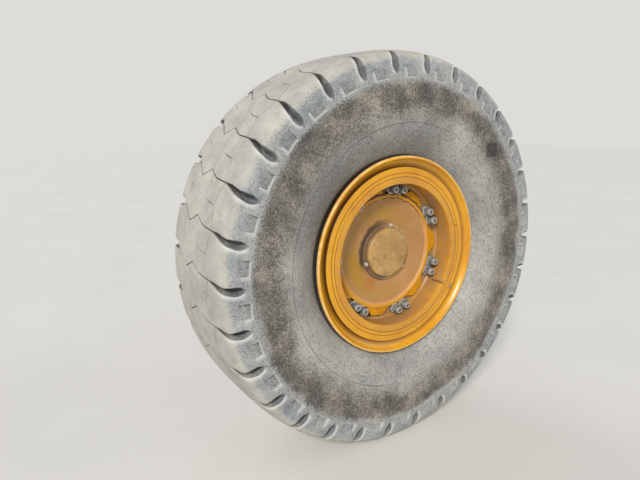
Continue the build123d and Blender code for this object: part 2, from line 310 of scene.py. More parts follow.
class SharedGroups:
    """Node groups that several finishes use, each made the first time it is placed."""

    def __init__(self) -> None:
        """Starts with no group made."""
        self._made: dict[str, bpy.types.NodeTree] = {}

    def _use(
        self,
        graph: Graph,
        name: str,
        inputs: dict[str, Value],
        outputs: tuple[str, ...],
        draw: Callable[..., tuple[Socket, ...]],
    ) -> list[Socket]:
        """Places a group in a material.

        Args:
            graph: The material's graph.
            name: The group's name.
            inputs: What feeds its inputs, by name.
            outputs: The names of its outputs.
            draw: Fills the group, from its graph and its inputs, and gives what feeds its outputs.

        Returns:
            The outputs of the placed group.
        """
        if name not in self._made:
            tree = bpy.data.node_groups.new(name, "ShaderNodeTree")
            for way, labels in (("INPUT", inputs), ("OUTPUT", outputs)):
                for label in labels:
                    tree.interface.new_socket(label, in_out=way, socket_type="NodeSocketFloat")
            inside = Graph(tree)
            entry = tree.nodes.new("NodeGroupInput")
            leave = tree.nodes.new("NodeGroupOutput")
            sources = draw(inside, *[entry.outputs[label] for label in inputs])
            for label, source in zip(outputs, sources):
                tree.links.new(source, leave.inputs[label])
            self._made[name] = tree
        return list(graph.node("Group", inputs, node_tree=self._made[name]).outputs)

    def place(self, graph: Graph) -> tuple[Socket, Socket]:
        """Places the group that reads radius and station in millimetres.

        Args:
            graph: The material's graph.

        Returns:
            The distance from the axle line, and the one outboard of the tyre's centre plane.
        """
        def draw(inside: Graph) -> tuple[Socket, ...]:
            """Works both out from the object coordinates."""
            across, along, up = inside.axes()
            station = inside.less(inside.product(along, -1 / MM), CENTRE_PLANE)
            return inside.product(inside.length(across, up), 1 / MM), station

        radius, station = self._use(graph, "Wheel place", {}, ("Radius", "Station"), draw)
        return radius, station

    def speckle(self, graph: Graph, scale: float, share: Value) -> Socket:
        """Places the group that scatters small grains of dirt.

        Args:
            graph: The material's graph.
            scale: Grains in a metre.
            share: How much of the surface they take.

        Returns:
            The grains' mask.
        """
        def draw(inside: Graph, size: Socket, amount: Socket) -> tuple[Socket, ...]:
            """Keeps the peaks of a noise."""
            edge = inside.less(0.72, inside.product(amount, 0.4))
            peaks = inside.stretch(inside.noise(size, 3.0, 0.75), edge, inside.total(edge, 0.09))
            return (peaks,)

        return self._use(graph, "Speckle", {"Scale": scale, "Share": share}, ("Mask",), draw)[0]

    def film(self, graph: Graph, scale: float, amount: float) -> Socket:
        """Places the group that lays an uneven film of dust.

        Args:
            graph: The material's graph.
            scale: Patches in a metre.
            amount: How much dust lies.

        Returns:
            The film's mask.
        """
        def draw(inside: Graph, size: Socket, cover: Socket) -> tuple[Socket, ...]:
            """Adds fine grain to broad patches."""
            broad = inside.product(inside.noise(size, 6.0, 0.62), 0.8)
            both = inside.total(broad, inside.product(inside.noise(180.0, 3.0, 0.7), 0.2))
            low = inside.less(0.78, inside.product(cover, 0.6))
            return (inside.stretch(both, low, inside.total(low, 0.25)),)

        return self._use(graph, "Dust film", {"Scale": scale, "Amount": amount}, ("Mask",), draw)[0]

    def smear(self, graph: Graph, length: float, width: float) -> Socket:
        """Places the group whose marks are drawn out round the axle.

        Args:
            graph: The material's graph.
            length: Marks in a radian.
            width: Marks in a metre, from the axle outwards.

        Returns:
            The marks' noise value.
        """
        def draw(inside: Graph, around: Socket, outwards: Socket) -> tuple[Socket, ...]:
            """Reads a noise in coordinates that run round the axle."""
            across, along, up = inside.axes()
            reach = inside.length(across, up)
            turned = {
                0: inside.product(inside.math("DIVIDE", across, reach), around),
                1: inside.product(inside.math("DIVIDE", up, reach), around),
                2: inside.product(inside.less(reach, along), outwards),
            }
            return (inside.noise(1.0, 5.0, 0.65, inside.node("CombineXYZ", turned).outputs[0]),)

        return self._use(graph, "Smear", {"Length": length, "Width": width}, ("Value",), draw)[0]


GROUPS = SharedGroups()


@dataclass(frozen=True)
class Layers:
    """What a finish draws, with None where the finish's own constant holds."""

    colour: Socket
    height: Socket
    rough: Socket | None = None
    metal: Socket | None = None


@dataclass(frozen=True)
class Finish:
    """What every finish has: a name and the constants of its surface."""

    name: str
    rough: float = 0.6
    metal: float = 0.0
    coat: float = 0.0
    coat_rough: float = 0.25
    bump: float = 0.25
    bump_reach: float = 0.0008

    def draw(self, graph: Graph) -> Layers:
        """Draws the layers, in each kind of finish's own way."""
        raise NotImplementedError

    def build(self) -> bpy.types.Material:
        """Makes the material and joins the layers to its surface shader.

        Returns:
            The material.
        """
        material = bpy.data.materials.new(self.name)
        material.use_nodes = True
        graph = Graph(material.node_tree)
        layers = self.draw(graph)
        relief = {"Height": layers.height, "Strength": self.bump, "Distance": self.bump_reach}
        surface = {
            "Base Color": layers.colour,
            "Roughness": self.rough if layers.rough is None else layers.rough,
            "Metallic": self.metal if layers.metal is None else layers.metal,
            "Coat Weight": self.coat,
            "Coat Roughness": self.coat_rough,
            "Normal": graph.node("Bump", relief).outputs[0],
        }
        shader = graph.node("BsdfPrincipled", surface)
        graph.node("OutputMaterial", {0: shader.outputs[0]})
        return material


@dataclass(frozen=True)
class DustyRubber(Finish):
    """Worn earthmover rubber: grey-beige tread, bluish lug sides and a dark speckled band.

    The limits are radii in millimetres. The dark square is a patch on the sidewall, given by its
    X and Z in metres.
    """

    bump_reach: float = 0.003
    sidewall: Colour = chip(184, 182, 174)
    sidewall_shade: Colour = chip(146, 145, 140)
    band: Colour = chip(168, 158, 143)
    band_shade: Colour = chip(116, 110, 102)
    salt: Colour = chip(206, 201, 190)
    grain: Colour = chip(52, 48, 45)
    foot: Colour = chip(162, 163, 159)
    lug_side: Colour = chip(176, 177, 172)
    lug_side_shade: Colour = chip(138, 144, 147)
    tread: Colour = chip(190, 186, 174)
    tread_shade: Colour = chip(162, 160, 153)
    stain: Colour = chip(150, 134, 110)
    # Dirt and painted shade in grooves, sipes and cuts.
    hollow: Colour = chip(36, 34, 32)
    # Painted highlight on the lugs' edges, where the hollow attribute is below 0.
    painted_highlight: Colour = chip(216, 214, 206)
    chalk: Colour = chip(200, 196, 184)
    mould: Colour = chip(74, 71, 67)
    smeared: Colour = chip(92, 89, 85)
    patch: Colour = chip(42, 41, 40)
    # Painted shade round the bead, where the tyre meets the flange, out to the limit below.
    bead_shade: Colour = chip(36, 33, 31)
    bead_shade_limit: float = 540.0
    mould_line: float = 702.5
    band_inner: float = 752.0
    band_outer: float = 894.0
    lug_inner: float = 930.0
    tread_inner: float = 1010.0
    square_x: tuple[float, float] = (0.552, 0.640)
    square_z: tuple[float, float] = (0.508, 0.584)

    def rings(self, graph: Graph, radius: Socket) -> tuple[Socket, Socket]:
        """Lays the rings of colour from the bead out to the tread.

        Args:
            graph: The material's graph.
            radius: The socket with the distance from the axle line.

        Returns:
            The colour socket, and the density of the dark grains.
        """
        drift = graph.swing(5.0, 36.0, 5.0, 0.65)
        fray = graph.swing(70.0, 15.0, 5.0, 0.75)
        loose = graph.total(radius, drift)
        frayed = graph.total(radius, fray, graph.product(drift, 0.3))
        broad = graph.cloud(2.6, 0.36, 0.64, rough=0.6)
        patchy = graph.cloud(7.0, 0.34, 0.66)
        scuffs = graph.cloud(46.0, 0.5, 0.66, 8.0, 0.9)
        side = graph.mix(broad, self.sidewall, self.sidewall_shade)
        side = graph.lay(side, self.grain, scuffs, 0.5)
        in_band = graph.window(loose, self.band_inner, self.band_outer, 130.0, 44.0)
        colour = graph.mix(in_band, side, graph.mix(patchy, self.band, self.band_shade))
        colour = graph.mix(graph.above(frayed, self.band_outer, 34.0), colour, self.foot)
        flank = graph.mix(patchy, self.lug_side, self.lug_side_shade)
        colour = graph.mix(graph.above(frayed, self.lug_inner, 30.0), colour, flank)
        tread = graph.mix(patchy, self.tread, self.tread_shade)
        stained = graph.cloud(13.0, 0.54, 0.68, 6.0, 0.7)
        tread = graph.lay(tread, self.stain, stained, 0.45)
        on_tread = graph.above(frayed, self.tread_inner, 26.0)
        colour = graph.mix(on_tread, colour, tread)
        dotted = graph.product(in_band, graph.total(0.09, graph.product(patchy, 0.26)))
        density = graph.less(graph.total(0.42, dotted), graph.product(on_tread, 0.15))
        return colour, graph.total(density, graph.product(broad, 0.07))

    def grains(self, graph: Graph, colour: Socket, density: Socket) -> Socket:
        """Scatters pale and dark grains over the rings.

        Args:
            graph: The material's graph.
            colour: The colour below.
            density: How thick the dark grains lie.

        Returns:
            The colour socket.
        """
        for grain, share, scale, strength in (
            (self.salt, graph.less(density, 0.1), 150.0, 0.5),
            (self.grain, density, 300.0, 0.7),
            (self.grain, density, 118.0, 0.62),
        ):
            colour = graph.lay(colour, grain, GROUPS.speckle(graph, scale, share), strength)
        return colour

    def marks(self, graph: Graph, colour: Socket, radius: Socket, station: Socket) -> Socket:
        """Adds the mould line, the smears, the dark square and the painted shade at the bead.

        Args:
            graph: The material's graph.
            colour: The colour below.
            radius: The socket with the distance from the axle line.
            station: The socket with the distance outboard of the centre plane.

        Returns:
            The colour socket.
        """
        line = graph.window(radius, self.mould_line - 2.4, self.mould_line + 0.8, 1.4)
        faint = graph.cloud(3.0, 0.4, 0.6, 3.0, 0.6)
        faded = graph.less(0.85, graph.product(faint, 0.6))
        colour = graph.lay(colour, self.mould, line, faded)
        smear = graph.stretch(GROUPS.smear(graph, 5.0, 60.0), 0.58, 0.68)
        low = graph.window(radius, 590.0, 770.0, 60.0)
        colour = graph.lay(colour, self.smeared, smear, low, 0.45)
        across, _, up = graph.axes()
        colour = graph.lay(
            colour,
            self.patch,
            graph.window(across, *self.square_x, 0.004),
            graph.window(up, *self.square_z, 0.004),
            graph.above(station, 250.0, 10.0),
            graph.total(0.7, graph.swing(60.0, 0.12, rough=0.6)),
        )
        # Painted shade between the tyre and the rim's flange.
        bead = graph.below(radius, self.bead_shade_limit, 10.0)
        return graph.lay(colour, self.bead_shade, bead, 0.85)

    def draw(self, graph: Graph) -> Layers:
        """Draws rings of colour round the axle, with grains and marks over them."""
        radius, station = GROUPS.place(graph)
        colour = self.grains(graph, *self.rings(graph, radius))
        colour = graph.lay(colour, self.chalk, GROUPS.film(graph, 11.0, 0.45), 0.22)
        colour = self.marks(graph, colour, radius, station)
        sunk = graph.hollow()
        # Dirt and painted shade in the hollows.
        colour = graph.lay(colour, self.hollow, sunk, 0.92)
        # Painted highlight where the hollow attribute is below 0.
        colour = graph.lay(colour, self.painted_highlight, sunk, -1.0)
        grit = graph.product(graph.noise(420.0, 3.0, 0.7), 0.45)
        height = graph.total(grit, graph.noise(60.0, 5.0, 0.65))
        return Layers(colour, height)


@dataclass(frozen=True)
class DustyPaint(Finish):
    """Gloss paint under site dust, with wear, grain and a few stains."""

    paint: Colour = chip(232, 166, 12)
    shade: Colour = chip(206, 138, 8)
    dust: Colour = chip(200, 162, 92)
    film: float = 0.34
    film_scale: float = 5.0
    stain: Colour = chip(92, 66, 40)
    stains: float = 0.3

    def layers(self, graph: Graph) -> Socket:
        """Lays paint, dust and stains and gives the colour."""
        colour = graph.mix(graph.cloud(4.0, 0.35, 0.65, rough=0.6), self.paint, self.shade)
        film = GROUPS.film(graph, self.film_scale, self.film)
        colour = graph.lay(colour, self.dust, film, 0.75)
        spots = GROUPS.speckle(graph, 95.0, self.stains)
        return graph.lay(colour, self.stain, spots, 0.5)

    def dull(self, graph: Graph) -> Socket:
        """Gives a roughness that rises where the dust lies."""
        film = GROUPS.film(graph, self.film_scale, self.film)
        return graph.total(self.rough, graph.product(film, 0.35))

    def draw(self, graph: Graph) -> Layers:
        """Draws even, dusty paint."""
        return Layers(self.layers(graph), graph.noise(240.0, 3.0, 0.6), self.dull(graph))


@dataclass(frozen=True)
class RimPaint(DustyPaint):
    """The rim's paint: a painted highlight on the lip, grime in its joints, dust and painted shade
    in the bore, painted shade at the flange's root.

    Each joint is its radius and half its line's width, in millimetres.
    """

    # Painted highlight on the flange's lip.
    lip: Colour = chip(246, 208, 140)
    grime: Colour = chip(62, 42, 18)
    # Dust in the bore, darkened further as painted shade.
    bore_dust_and_shade: Colour = chip(164, 122, 72)
    joints: tuple[tuple[float, float], ...] = ((443.4, 1.5), (423.4, 1.5), (477.0, 3.0))
    # Painted shade in the flange's concave root.
    hollow: Colour = chip(146, 92, 16)

    def draw(self, graph: Graph) -> Layers:
        """Draws the rings of painted highlight, grime, dust and painted shade over the paint."""
        radius, station = GROUPS.place(graph)
        colour = self.layers(graph)
        smear = graph.stretch(GROUPS.smear(graph, 4.0, 70.0), 0.5, 0.66)
        colour = graph.lay(colour, self.shade, smear, 0.3)
        broken = graph.cloud(26.0, 0.3, 0.6, 4.0, 0.7)
        # Painted highlight round the flange's lip, broken up by noise.
        edge = graph.window(radius, 526.0, 540.0, 4.0)
        colour = graph.lay(colour, self.lip, edge, broken, 0.85)
        aside = graph.math("ABSOLUTE", station)
        low = graph.window(aside, 20.0, 262.0, 60.0)
        cloudy = graph.cloud(6.0, 0.12, 0.5, rough=0.6)
        # Dust and painted shade inside the bore.
        inside = graph.window(radius, 0.0, 426.0, 4.0)
        colour = graph.lay(colour, self.bore_dust_and_shade, inside, low, cloudy, 0.92)
        # Painted shade across the flange's concave root.
        flange_root_shade = graph.window(radius, 474.0, 497.0, 4.0, 22.0)
        colour = graph.lay(colour, self.hollow, flange_root_shade, 0.75)
        ragged = graph.total(radius, graph.swing(40.0, 1.2))
        outside = graph.above(aside, 248.0, 4.0)
        for joint, half in self.joints:
            line = graph.window(ragged, joint - half, joint + half, 1.6)
            colour = graph.lay(colour, self.grime, line, outside, 0.85)
        return Layers(colour, graph.noise(240.0, 3.0, 0.6), self.dull(graph))


@dataclass(frozen=True)
class HubPaint(DustyPaint):
    """The hub's face: brown dust over paint, a stained lip, grease and rust round the cap.

    The spot of rust is given by its X and Z in metres.
    """

    bump_reach: float = 0.001
    cake: Colour = chip(214, 160, 104)
    cake_shade: Colour = chip(194, 142, 86)
    olive: Colour = chip(198, 150, 38)
    lip: Colour = chip(212, 152, 46)
    rust: Colour = chip(206, 122, 30)
    grease: Colour = chip(70, 54, 50)
    # Painted shade for the hub's surfaces behind the face.
    gap: Colour = chip(48, 34, 20)
    rust_place: tuple[float, float] = (-0.100, -0.162)

    def face(self, graph: Graph, radius: Socket, across: Socket, up: Socket) -> Socket:
        """Colours the dished face.

        Args:
            graph: The material's graph.
            radius: The socket with the distance from the axle line.
            across: The socket with X.
            up: The socket with Z.

        Returns:
            The colour socket.
        """
        mottled = graph.cloud(5.0, 0.36, 0.64, rough=0.6)
        colour = graph.mix(mottled, self.cake, self.cake_shade)
        cloudy = graph.cloud(4.4, 0.34, 0.56, rough=0.55)
        leaning = graph.below(across, 0.06, 0.5)
        bare = graph.window(radius, 150.0, 270.0, 80.0)
        colour = graph.lay(colour, self.olive, cloudy, bare, leaning, 0.9)
        rust_x, rust_z = self.rust_place
        off = graph.length(graph.total(across, -rust_x), graph.total(up, -rust_z))
        wobble = graph.total(off, graph.swing(22.0, 0.012, rough=0.6))
        colour = graph.lay(colour, self.rust, graph.below(wobble, 0.036, 0.06), 0.7)
        ragged = graph.total(radius, graph.swing(24.0, 10.0))
        ring = graph.window(ragged, 120.0, 184.0, 16.0)
        left, high = graph.below(across, -0.02, 0.16), graph.above(up, -0.07, 0.08)
        return graph.lay(colour, self.grease, ring, left, high, 0.9)

    def draw(self, graph: Graph) -> Layers:
        """Draws the dished face, the lip, the lobes, and painted shade in the gaps behind the face.
        """
        radius, station = GROUPS.place(graph)
        across, _, up = graph.axes()
        face = graph.window(radius, -10.0, 302.0, 5.0)
        colour = graph.mix(face, self.layers(graph), self.face(graph, radius, across, up))
        colour = graph.lay(colour, self.lip, graph.window(radius, 303.0, 325.0, 3.0), 0.7)
        ragged = graph.total(radius, graph.swing(44.0, 7.0))
        teeth = graph.window(ragged, 318.0, 332.0, 3.0)
        edge = graph.window(ragged, 297.0, 304.0, 2.5)
        both = graph.math("MAXIMUM", teeth, edge)
        colour = graph.lay(colour, self.stain, both, graph.above(up, 0.16, 0.14), 0.85)
        # Painted shade on all of the hub behind the face, in the gaps round the lobes.
        colour = graph.lay(colour, self.gap, graph.below(station, 150.0, 6.0))
        return Layers(colour, graph.noise(150.0, 4.0, 0.65), self.dull(graph))


@dataclass(frozen=True)
class OilyPaint(DustyPaint):
    """Oily dust on paint: soft blotches, dark where the oil has run, with pale blotches of painted
    highlight.
    """

    bump_reach: float = 0.0015
    oil: Colour = chip(98, 74, 46)
    # Painted highlight, in pale blotches.
    painted_highlight: Colour = chip(206, 176, 122)
    foot: Colour = chip(84, 64, 52)

    def draw(self, graph: Graph) -> Layers:
        """Draws the blotches, among them the painted highlight, over the paint, and the grime low
        on its side.
        """
        colour = self.layers(graph)
        colour = graph.lay(colour, self.oil, graph.cloud(15.0, 0.54, 0.70), 0.65)
        # Painted highlight in pale blotches.
        colour = graph.lay(colour, self.painted_highlight, graph.cloud(24.0, 0.56, 0.70), 0.6)
        low = graph.below(GROUPS.place(graph)[1], 166.0, 10.0)
        left = graph.below(graph.axes()[0], 0.0, 0.12)
        colour = graph.lay(colour, self.foot, low, left, 0.8)
        return Layers(colour, graph.noise(90.0, 4.0, 0.65), self.dull(graph))


@dataclass(frozen=True)
class WornMetal(Finish):
    """Bare or plated metal, dull, with dust in patches and painted shade in its hollows."""

    metal_colour: Colour = chip(150, 152, 152)
    dark: Colour = chip(92, 92, 90)
    dust: Colour = chip(150, 138, 118)
    # Painted shade in hollows, where the hollow attribute is set.
    hollow: Colour = chip(46, 43, 40)
    film: float = 0.4
    scale: float = 18.0

    def draw(self, graph: Graph) -> Layers:
        """Draws the metal; dust on it is rough and has no metallic shine."""
        colour = graph.mix(graph.cloud(60.0, 0.35, 0.65), self.metal_colour, self.dark)
        film = GROUPS.film(graph, self.scale, self.film)
        colour = graph.lay(colour, self.dust, film, 0.8)
        # Painted shade where the hollow attribute is set.
        colour = graph.lay(colour, self.hollow, graph.hollow())
        metal = graph.less(self.metal, graph.product(film, self.metal))
        rough = graph.total(self.rough, graph.product(film, 0.3))
        return Layers(colour, graph.noise(300.0, 3.0, 0.6), rough, metal)


@dataclass
class Palette:
    """The finishes of this wheel end, one material each."""

    made: dict[str, bpy.types.Material] = field(default_factory=dict)
    finishes: tuple[Finish, ...] = (
        DustyRubber("dusty_rubber", rough=0.9, bump=0.55),
        RimPaint("rim_paint", rough=0.34, coat=0.3, bump=0.12),
        HubPaint("hub_paint", rough=0.55, bump=0.3),
        DustyPaint(
            "disc_paint", film=0.8, stains=0.36, paint=chip(190, 134, 50),
            shade=chip(158, 112, 56), dust=chip(152, 126, 100),
        ),
        OilyPaint(
            "cap_paint", rough=0.38, bump=0.35, film=0.5, paint=chip(190, 150, 88),
            shade=chip(158, 122, 70), dust=chip(190, 156, 104),
        ),
        DustyPaint(
            "black_paint", rough=0.5, film=0.42, paint=chip(52, 52, 52), shade=chip(40, 40, 40),
            dust=chip(128, 116, 98), stain=chip(30, 26, 24),
        ),
        WornMetal(
            "fastener_steel", rough=0.5, metal=0.15, bump=0.3, metal_colour=chip(146, 147, 144),
            dark=chip(82, 83, 82), dust=chip(156, 145, 126),
        ),
        WornMetal(
            "stud_ends", rough=0.4, metal=0.4, bump=0.2, metal_colour=chip(206, 204, 198),
            dark=chip(168, 165, 158), film=0.2,
        ),
        WornMetal(
            "cap_bolt_steel", rough=0.4, metal=0.2, metal_colour=chip(214, 206, 192),
            dark=chip(160, 148, 130), dust=chip(190, 166, 128), film=0.35,
        ),
        WornMetal(
            "brake_iron", rough=0.4, metal=0.8, metal_colour=chip(120, 116, 110),
            dark=chip(96, 70, 52), film=0.3,
        ),
        WornMetal(
            "valve_brass", rough=0.45, metal=0.3, metal_colour=chip(190, 146, 84),
            dark=chip(150, 106, 62), dust=chip(186, 152, 98), film=0.6,
        ),
    )

    def __getitem__(self, name: str) -> bpy.types.Material:
        """Gives a material by its finish's name, building it the first time."""
        if name not in self.made:
            self.made[name] = next(f for f in self.finishes if f.name == name).build()
        return self.made[name]


def soften(
    mesh: bmesh.types.BMesh, places: list, edge: float, segments: int = 2, **settings: object
) -> None:
    """Bevels edges or corners.

    Args:
        mesh: The mesh that they are in.
        places: The edges or vertices.
        edge: The bevel's width in millimetres.
        segments: Steps across it.
        **settings: Anything else that the bevel is told.
    """
    settings = {"affect": "EDGES", "profile": 0.5, "material": -1, **settings}
    bmesh.ops.bevel(mesh, geom=places, offset=edge * MM, segments=segments, **settings)


def revolve(
    mesh: bmesh.types.BMesh,
    places: list,
    angle: float,
    steps: int,
    join: bool = False,
    copies: bool = False,
) -> None:
    """Turns geometry round the axle.

    Args:
        mesh: The mesh that it is in.
        places: Vertices, edges and faces.
        angle: How far it turns, in radians.
        steps: Facets or copies on the way.
        join: Whether the last step joins the first.
        copies: Whether it is repeated and not swept.
    """
    bmesh.ops.spin(
        mesh, geom=places, cent=(0, 0, 0), axis=AXLE, dvec=(0, 0, 0), angle=angle, steps=steps,
        use_merge=join, use_normal_flip=False, use_duplicate=copies,
    )


@dataclass
class Bench:
    """Where meshes are finished and fixed to the frame."""

    nodes: dict[str, bpy.types.Object]
    palette: Palette

    def turn(
        self, mesh: bmesh.types.BMesh, outline: list[tuple[float, float, float]], steps: int = 180
    ) -> None:
        """Spins a closed outline round the axle into a solid ring or plug.

        Args:
            mesh: The mesh that it is added to.
            outline: Corners as (radius, station, setback of the rounding).
            steps: Facets in a full turn.
        """
        on_axis = 1e-6
        corners = [mesh.verts.new(spot(radius, station)) for radius, station, _ in outline]
        mesh.faces.new(corners)
        for corner, (_, _, setback) in zip(corners, outline):
            if setback > 0:
                soften(mesh, [corner], setback, 4, affect="VERTICES")
        face = next(f for f in mesh.faces if len(f.verts) >= len(outline) and not f.tag)
        rim = [edge for edge in face.edges if any(v.co.x > on_axis for v in edge.verts)]
        bmesh.ops.delete(mesh, geom=[face], context="FACES_ONLY")
        axis_edges = [
            e for e in mesh.edges if not e.link_faces and all(v.co.x <= on_axis for v in e.verts)
        ]
        bmesh.ops.delete(mesh, geom=axis_edges, context="EDGES")
        before = set(mesh.faces)
        ends = dict.fromkeys(v for edge in rim for v in edge.verts)
        revolve(mesh, [*rim, *ends], math.tau, steps, join=True)
        for made in mesh.faces:
            if made not in before:
                made.tag = True

    def drum(
        self,
        mesh: bmesh.types.BMesh,
        where: Vector,
        radius: float,
        height: float,
        sides: int = 24,
        edge: float = 1.5,
        turn: float = 0.0,
    ) -> None:
        """Adds a short prism that stands outboard on a face.

        Args:
            mesh: The mesh that it is added to.
            where: Middle of its foot, in metres.
            radius: Radius to its corners, in millimetres.
            height: Height in millimetres.
            sides: Number of sides.
            edge: Width of the bevel on its outer rim.
            turn: Turn about its own axis in degrees.
        """
        place = (
            Matrix.Translation(where - AXLE * height * MM / 2)
            @ Matrix.Rotation(math.radians(90), 4, "X")
            @ Matrix.Rotation(math.radians(turn), 4, "Z")
        )
        made = bmesh.ops.create_cone(
            mesh, cap_ends=True, segments=sides, radius1=radius * MM, radius2=radius * MM,
            depth=height * MM, matrix=place,
        )["verts"]
        outer = min(v.co.y for v in made) + 1e-5
        edges = dict.fromkeys(e for v in made for e in v.link_edges)
        soften(mesh, [e for e in edges if all(v.co.y < outer for v in e.verts)], edge)

    def copy_node(self, mesh: bmesh.types.BMesh, node: str, edge: float) -> None:
        """Adds a merged copy of a frame node with its sharp edges rounded.

        Args:
            mesh: The mesh that it is added to.
            node: The node's name.
            edge: Width of the rounding in millimetres.
        """
        flat, sharp = math.radians(1.0), math.radians(40.0)
        mesh.from_mesh(self.nodes[node].data)
        bmesh.ops.remove_doubles(mesh, verts=mesh.verts, dist=1e-5)
        bmesh.ops.dissolve_limit(
            mesh, angle_limit=flat, verts=mesh.verts, edges=mesh.edges,
            use_dissolve_boundaries=False,
        )
        edges = [
            e for e in mesh.edges if len(e.link_faces) == 2 and e.calc_face_angle(0.0) > sharp
        ]
        soften(mesh, edges, edge, clamp_overlap=True)

    def fix(
        self,
        mesh: bmesh.types.BMesh,
        name: str,
        finish: str,
        replaces: tuple[str, ...] = (),
        body: Body = Body.WHEEL,
        sharp: float = 38.0,
        merge: float = 1e-5,
    ) -> None:
        """Closes a mesh, dresses it and makes it ride on its body.

        Args:
            mesh: The finished mesh, which is freed.
            name: The piece's name.
            finish: The name of its finish in the palette.
            replaces: The frame nodes that it stands for.
            body: The body that carries it.
            sharp: Edges that bend by more than this many degrees stay crisp.
            merge: Vertices nearer than this many metres become one.
        """
        bmesh.ops.remove_doubles(mesh, verts=mesh.verts, dist=merge)
        bmesh.ops.recalc_face_normals(mesh, faces=mesh.faces)
        data = bpy.data.meshes.new(name)
        mesh.to_mesh(data)
        mesh.free()
        data.shade_smooth()
        data.set_sharp_from_angle(angle=math.radians(sharp))
        data.materials.append(self.palette[finish])
        piece = bpy.data.objects.new(name, data)
        bpy.context.scene.collection.objects.link(piece)
        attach(piece, body.value)
        if replaces:
            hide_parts(*replaces)
        LOG.info("%s: %d faces on %s", name, len(data.polygons), body.value)


